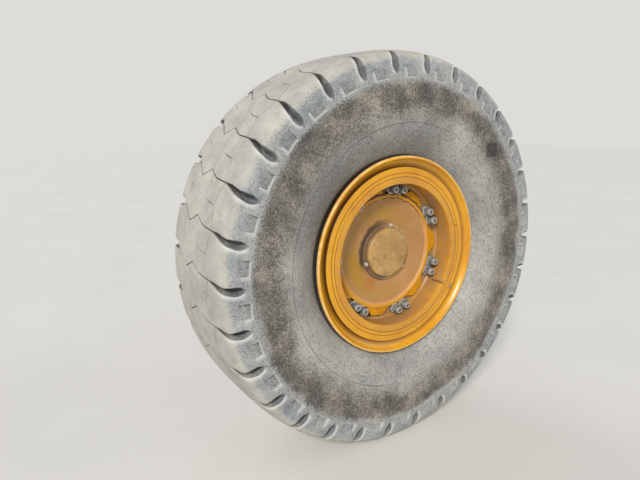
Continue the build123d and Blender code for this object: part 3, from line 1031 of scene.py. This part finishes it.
@dataclass
class Tyre:
    """The tyre: one pitch of tread and sidewall, shaped from a grid and repeated round the axle.

    A travel is the way along the outline from the crown's middle, positive to the outer side, in
    millimetres. The grid has a row at each travel and its columns run from the middle of one
    groove to the middle of the next. The ramps are read at a travel: sweep is the groove's angle,
    width and depth its section, margin the least way from its middle to the lug's first column,
    and ease how far the direction out of the rubber is averaged. Ledges are the steps cut in the
    lugs' flanks, cuts the short blind slots on the crown, and the rib line runs round the tread.
    """

    lugs: int = 30
    phase: float = 1.0
    columns: int = 18
    outline: tuple[tuple[float, float], ...] = (
        (0, 1060), (110, 1059), (200, 1054.5), (262, 1046), (297, 1035), (315, 1018), (326, 990),
        (333, 955), (338, 928), (341, 908), (338.5, 893), (338, 860), (340.5, 800), (340, 745),
        (335.5, 700), (322, 655), (298, 608), (264, 560), (242, 525), (231, 500), (226.2, 478),
    )
    bead: tuple[tuple[float, float], ...] = ((225.8, 462), (225.8, 446), (120, 446), (0, 446))
    crown_rows: tuple[float, ...] = (
        0, 20, 34, 48, 64, 79, 92, 106, 122, 138, 152, 166, 176, 179, 182, 185, 188, 194, 200, 214,
        230, 246, 256, 268, 280, 292, 304, 314, 324, 334, 344, 352, 360, 366, 369, 376, 383, 389,
        395, 400, 404, 408, 412, 418, 425, 428, 434, 440, 446, 453, 462,
    )
    sweep: Ramp = Ramp((
        (-900, -12.3), (-480, -6.8), (-240, -6.8), (-184, -6.6), (-150, -5.75), (-124, -4.85),
        (-100, -4.0), (-64, -2.65), (20, -4.78), (60, -3.7), (100, -2.78), (150, -2.45),
        (209, -2.1), (250, -1.75), (290, -1.0), (314, -0.6), (343, -0.4), (360, -0.3),
    ))
    width: Ramp = Ramp((
        (-414, 3), (-408, 9), (-400, 19), (-386, 32), (-365, 40), (-306, 40), (-240, 37),
        (-192, 32), (-182, 5), (-150, 4), (0, 3.4), (196, 4), (209, 6), (235, 12), (262, 19),
        (290, 26), (314, 31), (343, 36), (360, 40), (376, 39), (388, 33), (400, 20), (408, 8),
        (414, 3),
    ))
    depth: Ramp = Ramp((
        (-418, 0), (-410, 10), (-400, 26), (-388, 44), (-365, 54), (-306, 58), (-240, 46),
        (-194, 32), (-182, 10), (-150, 8), (0, 7), (150, 8), (196, 10), (209, 16), (235, 30),
        (262, 42), (290, 50), (314, 55), (343, 56), (376, 52), (390, 42), (400, 26), (410, 10),
        (418, 0),
    ))
    margin: Ramp = Ramp(((262, 0), (306, 26)))
    ease: Ramp = Ramp(((200, 5), (280, 42), (370, 42), (430, 5)))
    across: tuple[tuple[float, float], ...] = (
        (0.10, 0), (0.24, 0), (0.24, 2.5), (0.5, -2.4), (0.5, 0), (0.5, 2.4), (0.76, -2.5),
        (0.76, 0), (0.90, 0),
    )
    ledge_from: float = 366.0
    ledge_to: float = 428.0
    ledge_depth: Ramp = Ramp(((366, 0.0), (428, 19.0)))
    ledge_side_from: float = 389.0
    cuts: tuple[tuple[float, float], ...] = ((78.0, 168.0), (-186.0, -128.0))
    rib_line: float = 182.0
    rib_reach: float = 46.0
    rib_sway: float = 17.0
    flank_from: float = 262.0
    flank_run: float = 44.0
    bead_from: float = 470.0
    mould_radius: float = 701.0
    # Strength of the painted highlight on the flanks' leading edges and the ledges' rims.
    painted_highlight: float = -0.6
    deep_shade: float = 26.0

    def path(self) -> Curve:
        """Samples the outline as a smooth curve.

        Returns:
            Points as (travel, station, radius), in millimetres.
        """
        samples = 12
        knots = [Vector(p) for p in self.outline]
        knots = [Vector((-knots[1].x, knots[1].y))] + knots + [knots[-1] * 2 - knots[-2]]
        points: Curve = []
        travel, last = 0.0, knots[1]
        for a, b, c, d in zip(knots, knots[1:], knots[2:], knots[3:]):
            for part in range(samples):
                t = part / samples
                here = 0.5 * (
                    2 * b
                    + (c - a) * t
                    + (2 * a - 5 * b + 4 * c - d) * t * t
                    + (3 * b - a - 3 * c + d) * t**3
                )
                travel += (here - last).length
                last = here
                points.append((travel, here.x, here.y))
        travel += (knots[-2] - last).length
        points.append((travel, knots[-2].x, knots[-2].y))
        for station, radius in self.bead:
            here = Vector((station, radius))
            travel += (here - Vector(points[-1][1:])).length
            points.append((travel, station, radius))
        return points

    def rows(self, curve: Curve) -> tuple[list[float], float]:
        """Lists the travels of the grid's rows, from the inner bead to the outer one.

        Args:
            curve: The sampled outline.

        Returns:
            The travels, and the one of the mould line.
        """
        line = next(u for u, _, radius in curve if radius < self.mould_radius)
        foot = curve[-1 - len(self.bead)][0]
        last, above, below = self.crown_rows[-1], line - 8, line + 8
        side = [line - 4, line - 2, line, line + 2, line + 4]
        side += [last + (above - last) * part / 9 for part in range(1, 9)]
        side += [below + (foot - below) * part / 9 for part in range(10)]
        half = sorted([*self.crown_rows, *side]) + [u for u, _, _ in curve[-len(self.bead):]]
        return [-u for u in reversed(half)] + half[1:], line

    def build(self, bench: Bench) -> None:
        """Shapes one pitch, repeats it and fixes the tyre to the wheel.

        Args:
            bench: Where the mesh is finished.
        """
        curve = self.path()
        rows, line = self.rows(curve)
        mesh = bmesh.new()
        shades = mesh.verts.layers.float.new(HOLLOW)
        last_row = len(rows) - 1
        bmesh.ops.create_grid(mesh, x_segments=self.columns, y_segments=last_row, size=0.5)
        for vertex in mesh.verts:
            column = round((vertex.co.x + 0.5) * self.columns)
            travel = rows[round((vertex.co.y + 0.5) * last_row)]
            vertex.co, vertex[shades] = self.vertex(curve, travel, column, line)
        pitch = [*mesh.verts, *mesh.edges, *mesh.faces]
        turn = -math.tau * (self.lugs - 1) / self.lugs
        revolve(mesh, pitch, turn, self.lugs - 1, copies=True)
        bmesh.ops.remove_doubles(mesh, verts=mesh.verts, dist=2e-5)
        self.roughen(mesh)
        bench.fix(
            mesh, "tyre_casing", "dusty_rubber", ("tyre",), sharp=48.0, merge=1e-6
        )

    @staticmethod
    def roughen(mesh: bmesh.types.BMesh) -> None:
        """Wears the rubber outside the rim unevenly, by at most a few millimetres.

        Args:
            mesh: The whole tyre.
        """
        worn_from = 0.6
        for vertex in mesh.verts:
            grain = noise.noise(vertex.co * 9.0) * 1.6 + noise.noise(vertex.co * 31.0) * 0.7
            reach = Vector((vertex.co.x, 0.0, vertex.co.z))
            if reach.length > worn_from:
                side = AXLE * (0.6 if vertex.co.y > -CENTRE_PLANE * MM else -0.6)
                out = (reach.normalized() * 0.4 + side).normalized()
                vertex.co -= out * (abs(grain) * MM)

    def groove(self, travel: float, leading: bool) -> list[tuple[float, float, float]]:
        """Draws half a groove's section, from its middle to the end of its worn edge.

        Args:
            travel: The row's travel.
            leading: Whether the half's worn edge gets a painted highlight on the lug's flank.

        Returns:
            Steps as (way from the middle, cut, shade), in millimetres but for the shade, which is
            dirt and painted shade, or a painted highlight below 0.
        """
        half_width = self.width.at(travel) / 2
        deep = self.depth.at(travel)
        flank = min(1.0, max(0.0, (abs(travel) - self.flank_from) / self.flank_run))
        narrow = half_width < 4 and flank == 0
        lip = min(7.0, 1.2 + 0.35 * half_width) * (1 - flank) + 2.5 * flank
        worn = min(12.0, 3.0 + 0.8 * half_width) * (1 - flank) + 5.5 * flank
        wall = min(0.3 * deep, 6.0) * (1 - flank) + min(0.12 * deep, 3.5) * flank
        # Dirt and painted shade, deepest on the groove's floor.
        shade = min(1.0, deep / (7.0 if narrow else self.deep_shade)) * (1 - 0.45 * flank)
        # Painted highlight on the flank's leading worn edge.
        pale = self.painted_highlight * flank * min(1.0, deep / self.deep_shade) if leading else 0.0
        return [
            (0.0, deep, shade),
            (0.5 * half_width, 0.94 * deep, (1.0 if narrow else 0.95) * shade),
            (half_width, wall, (0.75 if narrow else 0.9) * shade),
            (half_width + lip, 0.25 * wall, pale),
            (half_width + lip + worn, 0.0, pale),
        ]

    def lug(self, travel: float, step: int) -> tuple[float, float]:
        """Shapes the lug between two grooves, with its ledge and its cuts.

        Args:
            travel: The row's travel.
            step: The column's number in across.

        Returns:
            How deep it is cut, and its shade: a painted highlight on the ledge's rim, dirt and
                painted shade in a cut.
        """
        way = abs(travel)
        cut, shade = 0.0, 0.0
        if 2 <= step <= 6 and self.ledge_from < way < self.ledge_to:
            cut = self.ledge_depth.at(way)
        on_foot = way == self.ledge_to and 2 <= step <= 7
        on_side = step == 7 and self.ledge_side_from <= way < self.ledge_to
        # Painted highlight on the ledge's foot and side.
        if on_foot or on_side:
            shade = self.painted_highlight
        # A blind cut gets dirt and painted shade.
        if step == 4 and any(low < travel < high for low, high in self.cuts):
            cut, shade = 7.0, 1.0
        return cut, shade

    def vertex(
        self, curve: Curve, travel: float, column: int, line: float
    ) -> tuple[Vector, float]:
        """Places one vertex of the pitch.

        Args:
            curve: The sampled outline.
            travel: Its row's travel.
            column: Its column, the first and last being the middles of two grooves.
            line: Travel of the mould line on the sidewall.

        Returns:
            Its point, and its shade: 1 deep in a hollow, for dirt and painted shade, below 0 for a
                painted highlight on an edge.
        """
        near = min(column, self.columns - column)
        leading = column < self.columns / 2
        section = self.groove(travel, leading)
        per_degree = self.point(curve, abs(travel))[1] * math.tau / 360
        pitch = 360 / self.lugs
        if near < len(section):
            way, cut, shade = section[near]
            degrees = way / per_degree if leading else pitch - way / per_degree
        else:
            step = column - len(section)
            edge = max(section[-1][0], self.margin.at(abs(travel))) / per_degree
            share, extra = self.across[step]
            degrees = edge + (pitch - 2 * edge) * share + extra / per_degree
            cut, shade = self.lug(travel, step)
        # The rib line's cut gets dirt and painted shade.
        if travel == self.rib_line and near > 2:
            cut, shade = max(cut, 5.0), 0.9
        wave = 1 - 4 * abs(degrees / pitch - 0.5)
        sway = self.rib_sway * wave * max(0.0, 1 - abs(travel - self.rib_line) / self.rib_reach)
        station, reach, out_station, out_reach = self.frame(curve, travel - sway)
        raised = 1.3 if abs(abs(travel) - line) < 0.1 else 0.0
        station -= out_station * (cut - raised)
        reach -= out_reach * (cut - raised)
        return spot(reach, station, self.phase + self.sweep.at(travel) + degrees), shade

    @staticmethod
    def point(curve: Curve, travel: float) -> tuple[float, float]:
        """Reads station and radius on the outer half of the outline.

        Args:
            curve: The sampled outline.
            travel: The travel, not negative.

        Returns:
            Station and radius in millimetres.
        """
        for (low, s0, r0), (high, s1, r1) in zip(curve, curve[1:]):
            if travel <= high:
                share = (travel - low) / max(high - low, 1e-9)
                return s0 + (s1 - s0) * share, r0 + (r1 - r0) * share
        return curve[-1][1], curve[-1][2]

    def frame(self, curve: Curve, travel: float) -> tuple[float, float, float, float]:
        """Reads a place on the outline and the direction out of the rubber.

        Args:
            curve: The sampled outline.
            travel: The travel.

        Returns:
            Station, radius, and the outward direction's station and radius parts.
        """
        side, way = (1.0 if travel >= 0 else -1.0), abs(travel)
        station, radius = self.point(curve, way)
        if way > self.bead_from:
            return side * station, radius, side, 0.0
        ease = self.ease.at(way)
        before, after = self.point(curve, max(way - ease, 0.0)), self.point(curve, way + ease)
        run, drop = after[0] - before[0], after[1] - before[1]
        length = math.hypot(run, drop)
        return side * station, radius, -side * drop / length, run / length


@dataclass
class Rim:
    """The five-piece rim: base, two flanges, bead seat band and split lock ring, with its disc.

    Sizes are radii, and stations out from the tyre's centre plane. The rings are drawn with the
    fit between them.
    """

    fit: float = 0.3
    bore: float = 387.0
    end: float = 270.0
    seat: float = 445.0
    seat_end: float = 152.0
    collar: float = 476.0
    collar_foot: float = 253.0
    gutter: float = 423.0
    groove_floor: float = 409.0
    groove_in: float = 242.0
    groove_out: float = 257.0
    split: float = 443.0
    split_width: float = 12.0
    split_angle: float = 16.5
    key_angle: float = -31.0
    key_radius: float = 452.0
    key_size: tuple[float, float, float] = (0.022, 0.009, 0.030)
    bead_face: float = 226.0
    flange: float = 533.4
    flange_station: float = 290.0
    disc_face: float = 146.0

    def build(self, bench: Bench) -> None:
        """Builds every ring of the rim and fixes it to the wheel.

        Args:
            bench: Where the meshes are finished.
        """
        self.rings(bench)
        self.lock(bench)
        self.key(bench)
        self.disc(bench)

    def rings(self, bench: Bench) -> None:
        """Builds the base with its gutter, the bead seat band and the two flanges.

        Args:
            bench: Where the meshes are finished.
        """
        gap, lip, end, tip = self.fit, self.flange_station, self.end, self.flange
        bore, gutter, seat, collar = self.bore, self.gutter, self.seat, self.collar
        floor, inner, outer = self.groove_floor, self.groove_in, self.groove_out
        seat_end, foot, face = self.seat_end, self.collar_foot, self.bead_face
        base = [
            (bore, end, 3), (gutter, end, 1.5), (gutter, outer, 1), (floor, outer, 0),
            (floor, inner, 0), (gutter, inner, 0), (gutter, -seat_end, 0), (seat, -seat_end, 2),
            (seat, -foot, 0), (collar, -foot, 0), (collar, -end, 3), (bore, -end, 3),
        ]
        flange = [
            (seat + gap, face, 0), (seat + gap, foot - gap, 0), (479, foot - gap, 9),
            (514, 276, 12), (520, lip, 3), (tip, lip, 4), (tip, 274, 4), (503, 243, 14),
            (478, face, 10),
        ]
        band = [
            (self.split + 0.8, end, 1.5), (collar, end, 3), (collar, foot, 0), (seat, foot, 0),
            (seat, seat_end, 0), (gutter + gap, seat_end, 0), (gutter + gap, inner + gap, 0),
        ]
        for name, node, outline, side in (
            ("rim_barrel", "rim_base", base, 1),
            ("outer_flange_ring", "outer_flange", flange, 1),
            ("inner_flange_ring", "inner_flange", flange, -1),
            ("seat_band", "bead_seat_band", band, 1),
        ):
            mesh = bmesh.new()
            bench.turn(mesh, [(radius, side * station, edge) for radius, station, edge in outline])
            bench.fix(mesh, name, "rim_paint", (node,))

    def lock(self, bench: Bench) -> None:
        """Builds the lock ring as an open turn, its ends square at the split.

        Args:
            bench: Where the mesh is finished.
        """
        gutter, floor = self.gutter, self.groove_floor + self.fit
        inner, outer = self.groove_in + self.fit, self.groove_out - self.fit
        outline = [
            (gutter + 0.8, self.end), (self.split - 0.6, self.end), (gutter + 0.4, inner),
            (floor, inner), (floor, outer), (gutter + self.fit, outer),
        ]
        opening = math.degrees(self.split_width / self.gutter)
        start = self.split_angle + opening / 2
        mesh = bmesh.new()
        face = mesh.faces.new([mesh.verts.new(spot(r, s, start)) for r, s in outline])
        section = [face, *face.edges, *face.verts]
        revolve(mesh, section, -math.radians(360 - opening), 180)
        bench.fix(mesh, "lock_ring_split", "rim_paint", ("lock_ring",))

    def key(self, bench: Bench) -> None:
        """Builds the small block that keeps the lock ring from turning, with its bolt.

        Args:
            bench: Where the mesh is finished.
        """
        mesh = bmesh.new()
        turn = Matrix.Rotation(-math.radians(self.key_angle), 4, "Y")
        place = Matrix.Translation(spot(self.key_radius, self.end + 2, self.key_angle)) @ turn
        size = Matrix.Diagonal((*self.key_size, 1.0))
        bmesh.ops.create_cube(mesh, size=1.0, matrix=place @ size)
        soften(mesh, mesh.edges[:], 1.5)
        bench.drum(mesh, spot(self.key_radius, self.end + 6, self.key_angle), 7.5, 5.0, 6, 1.0, 20)
        bench.fix(mesh, "locking_key", "valve_brass")

    def disc(self, bench: Bench) -> None:
        """Builds the wheel disc with its lobed opening, and the weld round its edge.

        Args:
            bench: Where the meshes are finished.
        """
        mesh = bmesh.new()
        bench.copy_node(mesh, "wheel_disc", 2.0)
        bench.fix(mesh, "wheel_disc_plate", "disc_paint", ("wheel_disc",))
        weld = bmesh.new()
        face, edge = self.disc_face, self.bore - 0.1
        outline = [(edge, face - 0.5, 0), (edge, face + 13, 1), (378, face + 4, 3)]
        bench.turn(weld, [*outline, (372, face - 0.5, 0)])
        bench.fix(weld, "disc_weld", "rim_paint")


@dataclass
class Hub:
    """The lobed hub with its cap, nuts and clamp plates."""

    lobes: int = 7
    lobe_start: float = 4.5
    nut_circle: float = 350.0
    nut_split: float = 5.0
    plate_face: float = 158.0
    stud_end: float = 206.0
    cap_foot: float = 151.0
    cap_flange: float = 160.0
    cap_flange_face: float = 159.0
    bolt_circle: float = 149.0
    bolt_angles: tuple[float, ...] = (80.0, 200.0, -40.0)

    def build(self, bench: Bench) -> None:
        """Builds the hub's pieces and fixes them to the wheel.

        Args:
            bench: Where the meshes are finished.
        """
        mesh = bmesh.new()
        bench.copy_node(mesh, "hub", 2.2)
        bench.fix(mesh, "hub_casting", "hub_paint", ("hub",))
        self.cap(bench)
        mesh = bmesh.new()
        bench.copy_node(mesh, "clamp_plates", 2.0)
        bench.fix(mesh, "nut_plates", "fastener_steel", ("clamp_plates",))
        self.nuts(bench)

    def cap(self, bench: Bench) -> None:
        """Builds the cap and the three bolts on its flange.

        Args:
            bench: Where the meshes are finished.
        """
        mesh = bmesh.new()
        foot, flange, face = self.cap_foot, self.cap_flange, self.cap_flange_face
        outline = [
            (0, foot, 0), (flange, foot, 0), (flange, face, 2.5), (139, face, 3), (136, 168, 3),
            (135, 181, 7), (112, 186, 12), (0, 186, 0),
        ]
        bench.turn(mesh, outline, 144)
        bench.fix(mesh, "hub_cap", "cap_paint", ("bearing_cap",))
        bolts = bmesh.new()
        for angle in self.bolt_angles:
            bench.drum(bolts, spot(self.bolt_circle, face - 0.2, angle), 12.0, 3.0, 28, 0.8)
            bench.drum(bolts, spot(self.bolt_circle, face + 2.5, angle), 10.5, 8.0, 6, 1.5, angle)
        bench.fix(bolts, "cap_bolts", "cap_bolt_steel")

    def nuts(self, bench: Bench) -> None:
        """Builds the nuts with their collars and stud ends.

        Args:
            bench: Where the meshes are finished.
        """
        nuts, studs = bmesh.new(), bmesh.new()
        studs.verts.layers.float.new(HOLLOW)
        for number in range(self.lobes):
            middle = self.lobe_start + (number + 0.5) * 360 / self.lobes
            for angle in (middle - self.nut_split, middle + self.nut_split):
                foot = spot(self.nut_circle, self.plate_face, angle)
                on_collar = spot(self.nut_circle, self.plate_face + 4.5, angle)
                bench.drum(studs, foot, 28.5, 5.0, 32, 1.5)
                bench.drum(nuts, on_collar, 25.0, 36.0, 6, 4.0, angle * 5)
                self.stud(bench, studs, angle)
        bench.fix(nuts, "nuts_and_washers", "fastener_steel", ("wheel_nuts",))
        bench.fix(studs, "stud_ends", "stud_ends")

    def stud(self, bench: Bench, mesh: bmesh.types.BMesh, angle: float) -> None:
        """Adds a stud's end, its middle sunk and darkened with painted shade.

        Args:
            bench: Where its drum is made.
            mesh: The mesh that it is added to.
            angle: Its angle in degrees.
        """
        foot = self.plate_face + 30
        shades = mesh.verts.layers.float[HOLLOW]
        bench.drum(mesh, spot(self.nut_circle, foot, angle), 18.0, self.stud_end - foot)
        centre = spot(self.nut_circle, self.stud_end, angle)
        top = min(mesh.faces, key=lambda f: (f.calc_center_median() - centre).length)
        for ring in (4.5, 1.5):
            bmesh.ops.inset_individual(mesh, faces=[top], thickness=ring * MM, depth=0.0)
        # The sunk middle gets painted shade.
        for vertex in top.verts:
            vertex.co.y += 3.0 * MM
            vertex[shades] = 0.7


@dataclass
class ValveStem:
    """The valve in the rim's bore, its parts given as (start, radius, length, sides, edge)."""

    line: float = 370.7
    angle: float = -31.0
    start: float = 206.0
    parts: tuple[tuple[float, ...], ...] = (
        (0, 8.6, 20, 24, 1.0), (20, 6.0, 42, 20, 0.5), (60, 8.8, 24, 16, 1.6),
    )
    block_line: float = 378.0
    block_size: tuple[float, float, float] = (0.0165, 0.016, 0.015)

    def build(self, bench: Bench) -> None:
        """Builds the foot, stem and cap and fixes them to the wheel.

        Args:
            bench: Where the mesh is finished.
        """
        mesh = bmesh.new()
        for start, radius, length, sides, edge in self.parts:
            foot = spot(self.line, self.start + start, self.angle)
            bench.drum(mesh, foot, radius, length, int(sides), edge)
        turn = Matrix.Rotation(-math.radians(self.angle), 4, "Y")
        block = Matrix.Translation(spot(self.block_line, self.start + 9, self.angle)) @ turn
        size = Matrix.Diagonal((*self.block_size, 1.0))
        bmesh.ops.create_cube(mesh, size=1.0, matrix=block @ size)
        bench.fix(mesh, "valve", "valve_brass", ("valve_stem",))


@dataclass
class Brake:
    """The spindle with the brake that it carries, seen from behind."""

    disc_back: float = -200.0
    disc_front: float = -165.0
    disc_bore: float = 205.0
    disc_radius: float = 340.0

    def build(self, bench: Bench) -> None:
        """Builds the disc on the wheel and the rest on the knuckle.

        Args:
            bench: Where the meshes are finished.
        """
        disc = bmesh.new()
        back, front = self.disc_back, self.disc_front
        bore, radius = self.disc_bore, self.disc_radius
        bench.turn(disc, [(bore, back, 2), (radius, back, 2), (radius, front, 2), (bore, front, 2)])
        bench.fix(disc, "brake_rotor", "brake_iron", ("brake_disc",))
        for node, name, edge, slot in (
            ("spindle", "spindle_casting", 3.0, Slot.UNDERSIDE),
            ("brake_anchor", "anchor_plate", 2.5, Slot.UNDERSIDE),
            ("front_caliper", "front_caliper_body", 5.0, Slot.CALIPER),
            ("rear_caliper", "rear_caliper_body", 5.0, Slot.CALIPER),
        ):
            mesh = bmesh.new()
            bench.copy_node(mesh, node, edge)
            bench.fix(mesh, name, "black_paint", (node,), Body.KNUCKLE)


@dataclass
class Studio:
    """The floor, the lamps and the camera.

    Each lamp is its name, the way it shines, its spread in degrees and its power.
    """

    floor: float = -1.060
    floor_size: float = 30.0
    floor_colours: tuple[Colour, Colour] = ((0.69, 0.665, 0.62, 1.0), (0.73, 0.705, 0.66, 1.0))
    light: Colour = (0.88, 0.91, 0.96, 1.0)
    light_strength: float = 0.38
    backdrop: Colour = (0.725, 0.712, 0.69, 1.0)
    suns: tuple[tuple[str, tuple[float, float, float], float, float], ...] = (
        ("key", (0.62, 0.56, -0.54), 14.0, 2.95),
        ("fill", (-0.75, 0.45, -0.35), 40.0, 0.35),
        ("back", (0.1, -0.85, -0.5), 40.0, 0.7),
    )
    eye: tuple[float, float, float] = (-1.8790, -2.7243, 0.7225)
    forward: tuple[float, float, float] = (0.53196, 0.81720, -0.22183)
    right: tuple[float, float, float] = (0.83808, -0.54555, 0.0)
    lens: float = 30.23

    def build(self) -> None:
        """Lays the floor, hangs the lamps and sets the camera."""
        self.ground()
        self.world()
        self.lamps()
        self.camera()

    def ground(self) -> None:
        """Lays a plain pale floor."""
        mesh = bmesh.new()
        bmesh.ops.create_grid(mesh, x_segments=1, y_segments=1, size=self.floor_size)
        bmesh.ops.translate(mesh, verts=mesh.verts, vec=(0, 0, self.floor))
        data = bpy.data.meshes.new("floor")
        mesh.to_mesh(data)
        mesh.free()
        material = bpy.data.materials.new("floor")
        material.use_nodes = True
        graph = Graph(material.node_tree)
        colour = graph.mix(graph.cloud(1.5, 0.2, 0.8, 3.0, 0.5), *self.floor_colours)
        shader = graph.node("BsdfPrincipled", {"Base Color": colour, "Roughness": 0.9})
        graph.node("OutputMaterial", {0: shader.outputs[0]})
        data.materials.append(material)
        floor = bpy.data.objects.new("floor", data)
        bpy.context.scene.collection.objects.link(floor)

    def world(self) -> None:
        """Sets pale surroundings that light softly and look like the floor's far end."""
        world = bpy.data.worlds.new("studio")
        world.use_nodes = True
        graph = Graph(world.node_tree)
        seen = graph.node("LightPath").outputs["Is Camera Ray"]
        colour = graph.mix(seen, self.light, self.backdrop)
        limits = {0: seen, 1: 0.0, 2: 1.0, 3: self.light_strength, 4: 1.0}
        strength = graph.node("MapRange", limits).outputs[0]
        sky = graph.node("Background", {"Color": colour, "Strength": strength})
        graph.node("OutputWorld", {0: sky.outputs[0]})
        bpy.context.scene.world = world

    def lamps(self) -> None:
        """Hangs a soft sun, and two weak ones that lift the shade."""
        for name, aim, spread, power in self.suns:
            lamp = bpy.data.lights.new(name, "SUN")
            lamp.angle = math.radians(spread)
            lamp.energy = power
            holder = bpy.data.objects.new(name, lamp)
            holder.rotation_euler = Vector(aim).to_track_quat("-Z", "Y").to_euler()
            bpy.context.scene.collection.objects.link(holder)

    def camera(self) -> None:
        """Sets the camera where the photograph's stood."""
        lens = bpy.data.cameras.new("camera")
        lens.lens = self.lens
        lens.sensor_width = 36.0
        lens.clip_end = 100.0
        holder = bpy.data.objects.new("camera", lens)
        forward = Vector(self.forward).normalized()
        right = Vector(self.right).normalized()
        turn = Matrix((right, right.cross(forward), -forward)).transposed().to_4x4()
        holder.matrix_world = Matrix.Translation(self.eye) @ turn
        bpy.context.scene.collection.objects.link(holder)
        bpy.context.scene.camera = holder


def main() -> None:
    """Loads the frame, builds every piece in order and sets up the studio."""
    logging.basicConfig(level=logging.INFO, format="%(name)s: %(message)s")
    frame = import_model()
    bpy.context.scene.view_settings.view_transform = "Standard"
    bench = Bench(frame["nodes"], Palette())
    for part in (Tyre(), Rim(), Hub(), ValveStem(), Brake()):
        part.build(bench)
    Studio().build()


if __name__ == "__main__":
    main()
